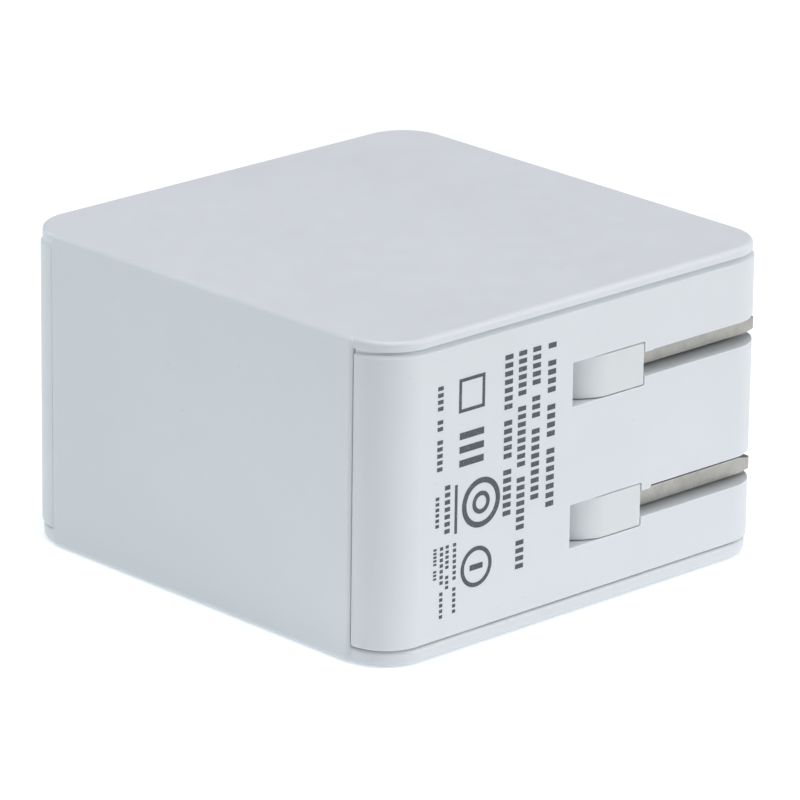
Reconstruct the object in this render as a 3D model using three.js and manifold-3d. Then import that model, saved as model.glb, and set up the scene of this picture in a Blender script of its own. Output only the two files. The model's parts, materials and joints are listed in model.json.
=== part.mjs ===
// USB wall charger with two folding flat blades, an assembly of separate pieces.
// Millimetres, +Z up. The charger lies on its broad base plate, origin under its middle.
// +Y is the label and prong face, -Y is the port face, +X is the closed side of the wrap
// cover, and the folded blades point to -X.

import * as THREE from 'three';
import { mergeVertices } from 'three/addons/utils/BufferGeometryUtils.js';
import Module from 'manifold-3d';

const wasm = await Module();
wasm.setup();

// ---------------------------------------------------------------- driving dimensions

const WIDTH = 46;
const DEPTH = 46;
const HEIGHT = 28.5;
const HALF_X = WIDTH / 2;
const HALF_Y = DEPTH / 2;
const MID_Z = HEIGHT / 2;

// Wrap cover: top plate, base plate and the flat side panel that joins them.
const TOP_PLATE = 0.87;
const BASE_PLATE = 1.45;
const PANEL = 1.2;
const PANEL_PROUD = 0.2;
const PANEL_HALF_LENGTH = 18.9;
const PLATE_CORNER = 4.4;

// Inner housing, split across its depth into a deep rear shell and a port shell.
const SEAM = 0.1;
const GAP = 0.3;
const WALL = 1.4;
const BODY_CORNER = 4;
const SPLIT_Y = -15;
const LIP_DEPTH = 2;
const LIP_WALL = 0.8;

// Folding blades: North American two-blade pattern.
const BLADE_PITCH = 12.7;
const BLADE_WIDTH = 6.35;
const BLADE_THICK = 1.5;
const BLADE_RECESS = 1.5;
const BLADE_REACH = 19.6;
const TAIL_WIDTH = 5;
const TAIL_REACH = 3.7;
const TAIL_CLIP = 1.1;

// Hinge: blocks of this half size fill the windows in the label face.
const BLOCK = 4.15;
const BLOCK_HALF_HEIGHT = 1.85;
const WINDOW_GAP = 0.16;
const WINDOW_HALF_HEIGHT = 1.95;
const GROOVE_HALF_HEIGHT = 1.17;
const GROOVE_FLOOR_Y = 14.6;
const HINGE_X = -3.1;
const HINGE_Y = HALF_Y - BLOCK;
const SHAFT_RADIUS = 2.2;
const TRUNNION_RADIUS = 1.4;
const TRUNNION_LENGTH = 1.8;

// Two type-A receptacles, standing with their long sides along Z.
const PORT_OFFSET = 8;
const PORT_LONG = 12.5;
const PORT_SHORT = 5.12;
const PORT_SHEET = 0.3;
const PORT_SETBACK = 0.4;
const CONTACTS_PER_PORT = 4;
const CONTACT_PITCH = 2.4;

// Circuit boards.
const BOARD = 1.2;
const MAIN_BOARD_Z = 5.2;
const USB_BOARD_Y = -9.6;

// Derived planes.
const BODY_LOW = BASE_PLATE + SEAM;
const BODY_HIGH = HEIGHT - TOP_PLATE - SEAM;
const BODY_MAX_X = HALF_X - PANEL_PROUD;
const PANEL_INNER_X = HALF_X - PANEL;
const POCKET_X = PANEL_INNER_X - GAP;
const CAVITY_LOW = BODY_LOW + WALL;
const CAVITY_HIGH = BODY_HIGH - WALL;
const CAVITY_MIN_X = -HALF_X + WALL;
const CAVITY_MAX_X = POCKET_X - WALL;
const LABEL_WALL_Y = HALF_Y - WALL;
const PRONG_HOUSING_X = 3.2;
const PRONG_HOUSING_Y = 14.7;
const BLADE_LEVELS = [MID_Z + BLADE_PITCH / 2, MID_Z - BLADE_PITCH / 2];
const BOARD_TOP = MAIN_BOARD_Z + BOARD;

// ---------------------------------------------------------------- materials

function material(color, roughness, metalness) {
  return new THREE.MeshStandardMaterial({ color, roughness, metalness });
}

const whiteShell = () => material(0xe2e6ea, 0.45, 0);
const whiteCover = () => material(0xdfe2e8, 0.35, 0);
const nickel = () => material(0xb9b9b4, 0.35, 1);
const steel = () => material(0xc4c6c8, 0.3, 1);
const brass = () => material(0xb08d4a, 0.35, 1);
const boardGreen = () => material(0x2d6a3e, 0.55, 0);
const blackPlastic = () => material(0x1d1e20, 0.5, 0);

// ---------------------------------------------------------------- solid helpers

function solid(geometry) {
  const bare = geometry.clone();
  bare.deleteAttribute('normal');
  bare.deleteAttribute('uv');
  const merged = mergeVertices(bare, 1e-4);
  const vertProperties = new Float32Array(merged.attributes.position.array);
  const triVerts = new Uint32Array(merged.index.array);
  return new wasm.Manifold(new wasm.Mesh({ numProp: 3, vertProperties, triVerts }));
}

function box(low, high) {
  const size = high.map((value, axis) => value - low[axis]);
  const geometry = new THREE.BoxGeometry(...size);
  geometry.translate(...low.map((value, axis) => value + size[axis] / 2));
  return solid(geometry);
}

// A shape drawn in the XY plane, standing between two heights.
function prism(shape, low, high, curveSegments = 8) {
  const options = { depth: high - low, bevelEnabled: false, curveSegments };
  const geometry = new THREE.ExtrudeGeometry(shape, options);
  geometry.translate(0, 0, low);
  return solid(geometry);
}

function upright(x, y, radius, low, high, sides = 24) {
  const geometry = new THREE.CylinderGeometry(radius, radius, high - low, sides);
  geometry.rotateX(Math.PI / 2);
  geometry.translate(x, y, (low + high) / 2);
  return solid(geometry);
}

// A round bar that lies along X.
function barAlongX(y, z, radius, low, high, sides = 20) {
  const geometry = new THREE.CylinderGeometry(radius, radius, high - low, sides);
  geometry.rotateZ(Math.PI / 2);
  geometry.translate((low + high) / 2, y, z);
  return solid(geometry);
}

// A rectangle with round corners, given by its two opposite corners.
function roundedRectangle(lowX, lowY, highX, highY, radius) {
  const shape = new THREE.Shape();
  const quarter = Math.PI / 2;
  shape.moveTo(lowX + radius, lowY);
  shape.lineTo(highX - radius, lowY);
  shape.absarc(highX - radius, lowY + radius, radius, -quarter, 0, false);
  shape.lineTo(highX, highY - radius);
  shape.absarc(highX - radius, highY - radius, radius, 0, quarter, false);
  shape.lineTo(lowX + radius, highY);
  shape.absarc(lowX + radius, highY - radius, radius, quarter, 2 * quarter, false);
  shape.lineTo(lowX, lowY + radius);
  shape.absarc(lowX + radius, lowY + radius, radius, 2 * quarter, 3 * quarter, false);
  return shape;
}

function toGeometry(manifold) {
  const { vertProperties, triVerts } = manifold.getMesh();
  const geometry = new THREE.BufferGeometry();
  geometry.setAttribute('position', new THREE.BufferAttribute(vertProperties, 3));
  geometry.setIndex(new THREE.BufferAttribute(triVerts, 1));
  geometry.computeVertexNormals();
  return geometry;
}

function piece(name, manifold, finish) {
  const mesh = new THREE.Mesh(toGeometry(manifold), finish);
  mesh.name = name;
  return mesh;
}

// ---------------------------------------------------------------- wrap cover

// One U-shaped moulding: two round-cornered plates joined by the side panel, which stands
// a little proud of the plates' corner arcs.
function wrapCover() {
  const outline = roundedRectangle(-HALF_X, -HALF_Y, BODY_MAX_X, HALF_Y, PLATE_CORNER);
  const base = prism(outline, 0, BASE_PLATE);
  const top = prism(outline, HEIGHT - TOP_PLATE, HEIGHT);
  const panelLow = [PANEL_INNER_X, -PANEL_HALF_LENGTH, 0];
  const panelHigh = [HALF_X, PANEL_HALF_LENGTH, HEIGHT];
  const cover = base.add(top).add(box(panelLow, panelHigh));
  return piece('wrap_cover', cover, whiteCover());
}

// ---------------------------------------------------------------- housing shells

// The outside of the inner housing, with the pocket that takes the side panel.
function housingBlank() {
  const outline = roundedRectangle(-HALF_X, -HALF_Y, BODY_MAX_X, HALF_Y, BODY_CORNER);
  const blank = prism(outline, BODY_LOW, BODY_HIGH);
  const reach = PANEL_HALF_LENGTH + SEAM;
  const pocket = box([POCKET_X, -reach, BODY_LOW - 1], [HALF_X + 1, reach, BODY_HIGH + 1]);
  return blank.subtract(pocket);
}

// The hollow inside both shells, with corners that follow the outside.
function housingCavity() {
  const frontY = -HALF_Y + WALL + 0.4;
  const radius = BODY_CORNER - WALL;
  const outline = roundedRectangle(CAVITY_MIN_X, frontY, CAVITY_MAX_X, LABEL_WALL_Y, radius);
  return prism(outline, CAVITY_LOW, CAVITY_HIGH);
}

function bladeGroove(level) {
  const low = [-HALF_X - 1, GROOVE_FLOOR_Y, level - GROOVE_HALF_HEIGHT];
  const high = [HINGE_X, HALF_Y + 1, level + GROOVE_HALF_HEIGHT];
  return box(low, high);
}

function hingeWindow(level) {
  const half = BLOCK + WINDOW_GAP;
  const low = [HINGE_X - half, PRONG_HOUSING_Y - 1, level - WINDOW_HALF_HEIGHT];
  const high = [HINGE_X + half, HALF_Y + 1, level + WINDOW_HALF_HEIGHT];
  return box(low, high);
}

// A small bump on the groove's upper wall that holds the folded blade down.
function bladeNub(level) {
  const top = level + GROOVE_HALF_HEIGHT + SEAM;
  const startX = HINGE_X - BLOCK - 1.9;
  return box([startX, HALF_Y - 1.6, top - 0.35], [startX + 1.1, HALF_Y - 0.5, top]);
}

// Room for the shaft between the blocks, and for the trunnions past them.
function hingeWell() {
  const open = PRONG_HOUSING_Y - 1;
  const shaftHalf = SHAFT_RADIUS + GAP;
  const shaftLow = [HINGE_X - shaftHalf, open, BLADE_LEVELS[1]];
  const shaftHigh = [HINGE_X + shaftHalf, HINGE_Y + shaftHalf, BLADE_LEVELS[0]];
  const trunnionHalf = TRUNNION_RADIUS + SEAM;
  const past = BLOCK_HALF_HEIGHT + TRUNNION_LENGTH + GAP;
  const slotLow = [HINGE_X - trunnionHalf, open, BLADE_LEVELS[1] - past];
  const slotHigh = [HINGE_X + trunnionHalf, HINGE_Y, BLADE_LEVELS[0] + past];
  const seat = upright(HINGE_X, HINGE_Y, trunnionHalf, slotLow[2], slotHigh[2]);
  return box(shaftLow, shaftHigh).add(box(slotLow, slotHigh)).add(seat);
}

// Rear shell: label face, blade side, inner side wall, and the solid prong housing that
// keeps the blades away from the circuit.
function rearShell() {
  const keepFrom = SPLIT_Y + SEAM;
  const outside = housingBlank().intersect(
    box([-HALF_X - 1, keepFrom, 0], [HALF_X + 1, HALF_Y + 1, HEIGHT]),
  );
  const housing = outside.intersect(
    box([-HALF_X, PRONG_HOUSING_Y, BODY_LOW], [PRONG_HOUSING_X, HALF_Y, BODY_HIGH]),
  );
  const recess = box(
    [CAVITY_MIN_X + 1, PRONG_HOUSING_Y - 1, MID_Z - 3.6],
    [HINGE_X - BLOCK - 2.4, LABEL_WALL_Y, MID_Z + 3.6],
  );
  let shell = outside.subtract(housingCavity()).add(housing).subtract(recess);
  shell = shell.subtract(hingeWell());
  for (const level of BLADE_LEVELS) {
    shell = shell.subtract(bladeGroove(level)).subtract(hingeWindow(level));
    shell = shell.add(bladeNub(level));
  }
  return shell;
}

// Holes in the rear shell for the two screws of the bearing cap.
const CAP_SCREW_X = HINGE_X + 5.2;
const CAP_SCREW_LEVELS = [MID_Z + 2.6, MID_Z - 2.6];
const SCREW_RADIUS = 0.7;

function screwHole(z, radius, fromY, toY) {
  const geometry = new THREE.CylinderGeometry(radius, radius, toY - fromY, 16);
  geometry.translate(CAP_SCREW_X, (fromY + toY) / 2, z);
  return solid(geometry);
}

function rearShellWithScrewHoles() {
  let shell = rearShell();
  for (const z of CAP_SCREW_LEVELS) {
    shell = shell.subtract(screwHole(z, SCREW_RADIUS + SEAM, PRONG_HOUSING_Y - 1, 18.6));
  }
  return piece('rear_shell', shell, whiteShell());
}

function portAperture(x) {
  const halfShort = PORT_SHORT / 2 + PORT_SHEET + SEAM;
  const halfLong = PORT_LONG / 2 + PORT_SHEET + SEAM;
  const low = [x - halfShort, -HALF_Y - 1, MID_Z - halfLong];
  const high = [x + halfShort, -HALF_Y + WALL + 1, MID_Z + halfLong];
  return box(low, high);
}

// Port shell: the face with the two port openings, and a thin lip that enters the rear
// shell all round.
function frontShell() {
  const keepTo = SPLIT_Y;
  const outside = housingBlank().intersect(
    box([-HALF_X - 1, -HALF_Y - 1, 0], [HALF_X + 1, keepTo, HEIGHT]),
  );
  const lipOutside = box(
    [CAVITY_MIN_X + SEAM, keepTo - 1.5, CAVITY_LOW + SEAM],
    [CAVITY_MAX_X - SEAM, keepTo + LIP_DEPTH, CAVITY_HIGH - SEAM],
  );
  const inset = SEAM + LIP_WALL;
  const lipInside = box(
    [CAVITY_MIN_X + inset, keepTo - 3, CAVITY_LOW + inset],
    [CAVITY_MAX_X - inset, keepTo + LIP_DEPTH + 1, CAVITY_HIGH - inset],
  );
  const lipRoot = box(
    [CAVITY_MIN_X - 0.5, keepTo - 1.5, CAVITY_LOW - 0.5],
    [CAVITY_MAX_X + 0.5, keepTo - 0.5, CAVITY_HIGH + 0.5],
  );
  const lip = lipOutside.add(lipRoot).subtract(lipInside);
  let shell = outside.subtract(housingCavity()).add(lip);
  for (const x of [-PORT_OFFSET, PORT_OFFSET]) {
    shell = shell.subtract(portAperture(x));
  }
  return piece('front_shell', shell, whiteShell());
}

// ---------------------------------------------------------------- folding prongs

// Drawn around the hinge axis, in the folded position. Each block is a drum with one
// square quadrant, so it is flush with the label face both folded and deployed.
function blockOutline() {
  const shape = new THREE.Shape();
  shape.moveTo(-BLOCK, BLOCK);
  shape.lineTo(-BLOCK, 0);
  shape.absarc(0, 0, BLOCK, Math.PI, 2.5 * Math.PI, false);
  return shape;
}

// The slot that the blade's tail is moulded into.
function tailSlot(level) {
  const half = TAIL_WIDTH / 2 + SEAM;
  const halfThick = BLADE_THICK / 2 + SEAM;
  return box([-BLOCK - 1, -half, level - halfThick], [BLOCK + 1, half, level + halfThick]);
}

function prongCarrier() {
  const outline = blockOutline();
  let carrier = upright(0, 0, SHAFT_RADIUS, BLADE_LEVELS[1], BLADE_LEVELS[0]);
  const ends = BLADE_PITCH / 2 + BLOCK_HALF_HEIGHT + TRUNNION_LENGTH;
  carrier = carrier.add(upright(0, 0, TRUNNION_RADIUS, MID_Z - ends, MID_Z + ends));
  for (const level of BLADE_LEVELS) {
    const low = level - BLOCK_HALF_HEIGHT;
    carrier = carrier.add(prism(outline, low, level + BLOCK_HALF_HEIGHT, 24));
  }
  for (const level of BLADE_LEVELS) {
    carrier = carrier.subtract(tailSlot(level));
  }
  return carrier;
}

// A flat blade with clipped corners and a thinned tip. Its narrow tail runs through the
// block, with corners clipped to stay inside the block's drum as it turns.
function prongBlade() {
  const tailHalf = TAIL_WIDTH / 2;
  const frontY = BLOCK - BLADE_RECESS;
  const backY = frontY - BLADE_WIDTH;
  const shoulder = -BLOCK - 0.15;
  const clip = 1;
  const shape = new THREE.Shape();
  shape.moveTo(-BLADE_REACH, frontY - clip);
  shape.lineTo(-BLADE_REACH + clip, frontY);
  shape.lineTo(shoulder, frontY);
  shape.lineTo(shoulder, tailHalf);
  shape.lineTo(TAIL_REACH - TAIL_CLIP, tailHalf);
  shape.lineTo(TAIL_REACH, tailHalf - TAIL_CLIP);
  shape.lineTo(TAIL_REACH, TAIL_CLIP - tailHalf);
  shape.lineTo(TAIL_REACH - TAIL_CLIP, -tailHalf);
  shape.lineTo(shoulder, -tailHalf);
  shape.lineTo(shoulder, backY);
  shape.lineTo(-BLADE_REACH + clip, backY);
  shape.lineTo(-BLADE_REACH, backY + clip);
  const flat = prism(shape, -BLADE_THICK / 2, BLADE_THICK / 2);

  const side = new THREE.Shape();
  const tipHalf = 0.45;
  side.moveTo(-BLADE_REACH, -tipHalf);
  side.lineTo(-BLADE_REACH + 1.6, -BLADE_THICK / 2);
  side.lineTo(TAIL_REACH + 1, -BLADE_THICK / 2);
  side.lineTo(TAIL_REACH + 1, BLADE_THICK / 2);
  side.lineTo(-BLADE_REACH + 1.6, BLADE_THICK / 2);
  side.lineTo(-BLADE_REACH, tipHalf);
  const options = { depth: 2 * BLADE_WIDTH, bevelEnabled: false };
  const profile = new THREE.ExtrudeGeometry(side, options);
  profile.rotateX(Math.PI / 2);
  profile.translate(0, BLADE_WIDTH, 0);
  return flat.intersect(solid(profile));
}

function prongs() {
  const group = new THREE.Group();
  group.position.set(HINGE_X, HINGE_Y, 0);
  group.add(piece('prong_carrier', prongCarrier(), whiteShell()));
  const names = ['prong_blade_upper', 'prong_blade_lower'];
  names.forEach((name, index) => {
    const blade = piece(name, prongBlade(), nickel());
    blade.position.z = BLADE_LEVELS[index];
    group.add(blade);
  });
  return group;
}

// ---------------------------------------------------------------- hinge cap and contacts

const CAP_BACK_Y = 13.4;
const CAP_FRONT_Y = 14.4;
const CAP_LOW_X = HINGE_X - 6.4;
const CAP_HIGH_X = HINGE_X + 6.8;

// Closes the back of the hinge well, with two posts that hold the trunnions in their seats
// and two windows for the contact springs.
function bearingCap() {
  const reach = BLADE_PITCH / 2 + BLOCK_HALF_HEIGHT + TRUNNION_LENGTH;
  let cap = box([CAP_LOW_X, CAP_BACK_Y, MID_Z - reach], [CAP_HIGH_X, CAP_FRONT_Y, MID_Z + reach]);
  const postHalf = TRUNNION_RADIUS - GAP;
  const postStart = BLADE_PITCH / 2 + BLOCK_HALF_HEIGHT + GAP;
  for (const side of [1, -1]) {
    const levels = [MID_Z + side * postStart, MID_Z + side * (reach - SEAM)];
    const low = [HINGE_X - postHalf, CAP_FRONT_Y - 0.2, Math.min(...levels)];
    const high = [HINGE_X + postHalf, HINGE_Y, Math.max(...levels)];
    cap = cap.add(box(low, high));
  }
  cap = cap.subtract(
    upright(HINGE_X, HINGE_Y, TRUNNION_RADIUS + SEAM, MID_Z - reach - 1, MID_Z + reach + 1),
  );
  for (const level of BLADE_LEVELS) {
    const low = [HINGE_X - 3, CAP_BACK_Y - 1, level - 1.4];
    cap = cap.subtract(box(low, [HINGE_X + 3, CAP_FRONT_Y + 0.5, level + 1.4]));
  }
  for (const z of CAP_SCREW_LEVELS) {
    cap = cap.subtract(screwHole(z, SCREW_RADIUS + SEAM, CAP_BACK_Y - 1, CAP_FRONT_Y + 1));
  }
  return piece('bearing_cap', cap, whiteShell());
}

function capScrew(number, z) {
  const head = screwHole(z, 1.3, CAP_BACK_Y - 0.9, CAP_BACK_Y - SEAM);
  const shank = screwHole(z, SCREW_RADIUS, CAP_BACK_Y - 0.5, 18);
  const slotLow = [CAP_SCREW_X - 1.4, CAP_BACK_Y - 1.2, z - 0.15];
  const slot = box(slotLow, [CAP_SCREW_X + 1.4, CAP_BACK_Y - 0.6, z + 0.15]);
  return piece(`cap_screw_${number}`, head.add(shank).subtract(slot), steel());
}

const SPRING_THICK = 0.35;
const SPRING_BACK_Y = CAP_BACK_Y - SPRING_THICK - 0.15;
const SPRING_TAB_X = 7.2;

// A bent strip: a flat along the back of the cap, and an arm that bows through the cap's
// window towards the blade's tail.
function contactSpring(name, level) {
  const front = SPRING_BACK_Y + SPRING_THICK;
  const bowX = 2.4;
  const bowY = HINGE_Y - BLOCK - GAP;
  const shape = new THREE.Shape();
  shape.moveTo(SPRING_TAB_X, SPRING_BACK_Y);
  shape.lineTo(SPRING_TAB_X, front);
  shape.lineTo(HINGE_X + bowX, front);
  shape.quadraticCurveTo(HINGE_X, 2 * bowY - front, HINGE_X - bowX, front);
  shape.lineTo(HINGE_X - bowX, SPRING_BACK_Y);
  const dip = 2 * (bowY - SPRING_THICK) - SPRING_BACK_Y;
  shape.quadraticCurveTo(HINGE_X, dip, HINGE_X + bowX, SPRING_BACK_Y);
  const strip = prism(shape, level - 1, level + 1, 10);
  return piece(name, strip, brass());
}

// An insulated lead from a contact spring's tab down to the main board.
function lead(name, level, footX) {
  const radius = 0.55;
  const startY = SPRING_BACK_Y - radius - 0.1;
  const kneeLevel = (level + BOARD_TOP + 3) / 2;
  const route = new THREE.CatmullRomCurve3([
    new THREE.Vector3(SPRING_TAB_X - 0.7, startY, level),
    new THREE.Vector3(footX - 0.6, startY + 0.1, level),
    new THREE.Vector3(footX, startY - 0.3, kneeLevel),
    new THREE.Vector3(footX, startY - 1.6, BOARD_TOP + 2.2),
    new THREE.Vector3(footX, startY - 1.7, BOARD_TOP + 0.3),
  ]);
  const section = new THREE.Shape();
  section.absarc(0, 0, radius, 0, 2 * Math.PI, false);
  const options = { steps: 24, curveSegments: 4, bevelEnabled: false, extrudePath: route };
  const tube = new THREE.ExtrudeGeometry(section, options);
  return piece(name, solid(tube), material(name.includes('live') ? 0x7a4a2a : 0x2c4f8a, 0.5, 0));
}

// ---------------------------------------------------------------- ports

// Folded sheet shell of a type-A receptacle, open at its mouth and closed at the board.
function portShell() {
  const back = USB_BOARD_Y - SEAM;
  const mouth = -HALF_Y + PORT_SETBACK;
  const halfShort = PORT_SHORT / 2;
  const halfLong = PORT_LONG / 2;
  const outside = box(
    [-halfShort - PORT_SHEET, mouth, -halfLong - PORT_SHEET],
    [halfShort + PORT_SHEET, back, halfLong + PORT_SHEET],
  );
  const inside = box([-halfShort, mouth - 1, -halfLong], [halfShort, back - PORT_SHEET, halfLong]);
  return outside.subtract(inside);
}

const TONGUE_BACK_Y = USB_BOARD_Y - SEAM - PORT_SHEET - SEAM;
const TONGUE_FRONT_Y = -HALF_Y + PORT_SETBACK + 1.1;
const TONGUE_THICK = 1.84;
const TONGUE_X = -1.2;

function portTongue() {
  const baseHalfShort = PORT_SHORT / 2 - SEAM;
  const baseHalfLong = PORT_LONG / 2 - SEAM;
  const base = box(
    [-baseHalfShort, TONGUE_BACK_Y - 2, -baseHalfLong],
    [baseHalfShort, TONGUE_BACK_Y, baseHalfLong],
  );
  const half = TONGUE_THICK / 2;
  const tongue = box(
    [TONGUE_X - half, TONGUE_FRONT_Y, -11.1 / 2],
    [TONGUE_X + half, TONGUE_BACK_Y - 1, 11.1 / 2],
  );
  return base.add(tongue);
}

function portContact(z) {
  const face = TONGUE_X + TONGUE_THICK / 2 + 0.02;
  return box([face, TONGUE_FRONT_Y + 0.8, z - 0.5], [face + 0.25, TONGUE_BACK_Y - 2.05, z + 0.5]);
}

// Both receptacles are the same way up; left and right are as seen facing the ports.
function port(side, x) {
  const group = new THREE.Group();
  group.position.set(x, 0, MID_Z);
  group.add(piece(`usb_shell_${side}`, portShell(), steel()));
  group.add(piece(`usb_tongue_${side}`, portTongue(), whiteShell()));
  for (let index = 0; index < CONTACTS_PER_PORT; index += 1) {
    const z = (index - (CONTACTS_PER_PORT - 1) / 2) * CONTACT_PITCH;
    group.add(piece(`usb_contact_${side}_${index + 1}`, portContact(z), brass()));
  }
  return group;
}

// ---------------------------------------------------------------- circuit

function mainBoard() {
  const board = box([-20.4, -8.1, MAIN_BOARD_Z], [18.9, 11.9, BOARD_TOP]);
  return piece('main_board', board, boardGreen());
}

function usbBoard() {
  const low = [-19, USB_BOARD_Y, CAVITY_LOW + 0.6];
  const board = box(low, [19, USB_BOARD_Y + BOARD, CAVITY_HIGH - 0.8]);
  return piece('usb_board', board, boardGreen());
}

// Ferrite E core around the bobbin: two round the ends, one centre leg.
function transformer() {
  const group = new THREE.Group();
  group.position.set(5.2, 0.6, BOARD_TOP);
  const core = box([-7.4, -5.2, 2.2], [7.4, 5.2, 18.4])
    .subtract(box([-5.6, -6, 4.4], [5.6, 6, 16.2]))
    .add(box([-5.7, -2, 9], [5.7, 2, 11.6]));
  const flangeLow = box([-5.3, -7, 4.7], [-4.4, 7, 15.9]);
  const flangeHigh = box([4.4, -7, 4.7], [5.3, 7, 15.9]);
  const barrel = box([-5, -3, 8], [5, 3, 12.6]);
  const tunnel = box([-6, -2.3, 8.7], [6, 2.3, 11.9]);
  const bobbin = flangeLow.add(flangeHigh).add(barrel).subtract(tunnel);
  const windingOutline = roundedRectangle(-5.8, 5.6, 5.8, 15, 2);
  const windingOptions = { depth: 8.4, bevelEnabled: false, curveSegments: 5 };
  const windingGeometry = new THREE.ExtrudeGeometry(windingOutline, windingOptions);
  windingGeometry.rotateX(Math.PI / 2);
  windingGeometry.rotateZ(Math.PI / 2);
  windingGeometry.translate(-4.2, 0, 0);
  const winding = solid(windingGeometry).subtract(box([-6, -3.2, 7.8], [6, 3.2, 12.8]));
  group.add(piece('transformer_core', core, material(0x3b3d40, 0.6, 0)));
  group.add(piece('transformer_bobbin', bobbin, blackPlastic()));
  group.add(piece('transformer_winding', winding, material(0xd9b23c, 0.45, 0)));
  return group;
}

// An electrolytic can with a rolled groove near its foot, standing on the board.
function canCapacitor(name, x, y, radius, height, color) {
  const groove = radius * 0.07;
  const foot = BOARD_TOP + 0.2;
  const points = [
    [0, 0],
    [radius, 0],
    [radius, 1.4],
    [radius - groove, 1.8],
    [radius, 2.2],
    [radius, height - 0.4],
    [radius - 0.4, height],
    [0, height],
  ];
  const profile = points.map(([r, h]) => new THREE.Vector2(r, h));
  const geometry = new THREE.LatheGeometry(profile, 24);
  geometry.rotateX(Math.PI / 2);
  const mesh = piece(name, solid(geometry), material(color, 0.35, 0.1));
  mesh.position.set(x, y, foot);
  return mesh;
}

function lineChoke() {
  const foot = BOARD_TOP + 0.2;
  const core = upright(0, 0, 3.3, 0, 1.3)
    .add(upright(0, 0, 2.6, 1, 8))
    .add(upright(0, 0, 3.3, 7.7, 9));
  const mesh = piece('line_choke', core, material(0x55432f, 0.5, 0));
  mesh.position.set(-6.4, -3.4, foot);
  return mesh;
}

function fuse() {
  const level = BOARD_TOP + 2.3;
  const body = barAlongX(0, 0, 1.9, -3.6, 3.6);
  const mesh = piece('fuse', body, material(0xa9bf8a, 0.5, 0));
  mesh.position.set(-6.2, 7.6, level);
  return mesh;
}

// Safety capacitor: a thick disc on edge.
function safetyCapacitor() {
  const geometry = new THREE.CylinderGeometry(3.6, 3.6, 2.6, 24);
  const mesh = piece('safety_capacitor', solid(geometry), material(0x2f62b5, 0.4, 0));
  mesh.position.set(15.4, 10, BOARD_TOP + 4.4);
  return mesh;
}

function chip(name, low, high) {
  return piece(name, box(low, high), blackPlastic());
}

// Polyester barrier between the hinge's contacts and the circuit.
function insulationSheet() {
  const sheet = box([-19.5, 12.2, CAVITY_LOW + 0.5], [4.6, 12.45, CAVITY_HIGH - 0.5]);
  return piece('insulation_sheet', sheet, material(0xf0ead2, 0.3, 0));
}

function circuit() {
  const group = new THREE.Group();
  const underside = MAIN_BOARD_Z - 0.1;
  group.add(mainBoard(), usbBoard(), transformer());
  group.add(canCapacitor('bulk_capacitor_1', -15.3, -2.9, 5, 16, 0x20242c));
  group.add(canCapacitor('bulk_capacitor_2', -15.3, 6.9, 4.6, 16, 0x20242c));
  group.add(canCapacitor('output_capacitor_1', 16.2, -4.4, 3.15, 11, 0x2b5d48));
  group.add(canCapacitor('output_capacitor_2', 16.2, 3.2, 3.15, 11, 0x2b5d48));
  group.add(lineChoke(), fuse(), safetyCapacitor());
  group.add(chip('optocoupler', [2.6, 8.8, BOARD_TOP + 0.1], [7.2, 11.4, BOARD_TOP + 3.4]));
  group.add(chip('bridge_rectifier', [-14, 3, underside - 1.6], [-9, 7, underside]));
  group.add(chip('controller_chip', [-4, -2, underside - 1.6], [1, 2, underside]));
  group.add(chip('output_rectifier', [10, -5, underside - 1.6], [15, -1, underside]));
  group.add(insulationSheet());
  return group;
}

// ---------------------------------------------------------------- assembly

const charger = new THREE.Group();
charger.add(wrapCover(), rearShellWithScrewHoles(), frontShell());
charger.add(prongs(), bearingCap());
CAP_SCREW_LEVELS.forEach((z, index) => charger.add(capScrew(index + 1, z)));
charger.add(contactSpring('contact_spring_live', BLADE_LEVELS[0]));
charger.add(contactSpring('contact_spring_neutral', BLADE_LEVELS[1]));
charger.add(lead('lead_live', BLADE_LEVELS[0], 9.6));
charger.add(lead('lead_neutral', BLADE_LEVELS[1], 11.4));
charger.add(port('left', -PORT_OFFSET), port('right', PORT_OFFSET));
charger.add(circuit());

export default charger;
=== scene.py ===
"""USB wall charger with two folding blades: the visible pieces, materials, lights and camera.

Shapes are built in millimetres in the frame's own axes (+Z up, +Y label and prong face, -Y port
face, +X closed side of the cover) and scaled to metres when a piece is finished.
"""

import json
import math

import bmesh
import bpy
from mathutils import Matrix, Vector


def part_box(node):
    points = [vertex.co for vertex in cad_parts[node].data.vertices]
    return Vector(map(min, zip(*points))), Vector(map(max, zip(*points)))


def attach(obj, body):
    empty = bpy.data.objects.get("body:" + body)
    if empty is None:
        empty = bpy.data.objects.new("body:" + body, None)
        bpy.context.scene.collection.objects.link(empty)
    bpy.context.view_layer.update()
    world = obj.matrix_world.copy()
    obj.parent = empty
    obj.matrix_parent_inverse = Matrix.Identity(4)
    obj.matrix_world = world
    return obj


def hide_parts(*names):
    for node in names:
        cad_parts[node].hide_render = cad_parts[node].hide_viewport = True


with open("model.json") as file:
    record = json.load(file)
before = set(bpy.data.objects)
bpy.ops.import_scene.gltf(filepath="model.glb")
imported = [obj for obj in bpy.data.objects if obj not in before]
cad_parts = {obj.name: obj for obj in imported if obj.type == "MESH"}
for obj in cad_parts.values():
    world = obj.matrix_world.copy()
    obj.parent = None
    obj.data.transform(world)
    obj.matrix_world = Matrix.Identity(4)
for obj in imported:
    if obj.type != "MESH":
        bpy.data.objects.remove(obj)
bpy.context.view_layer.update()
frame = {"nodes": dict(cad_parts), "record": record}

MM = 0.001
QUARTER = math.pi / 2


def box_mm(node):
    """Lowest and highest corner of a CAD node, in millimetres."""
    low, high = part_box(node)
    return low / MM, high / MM


# ------------------------------------------------------------------ sizes from the frame

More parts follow.
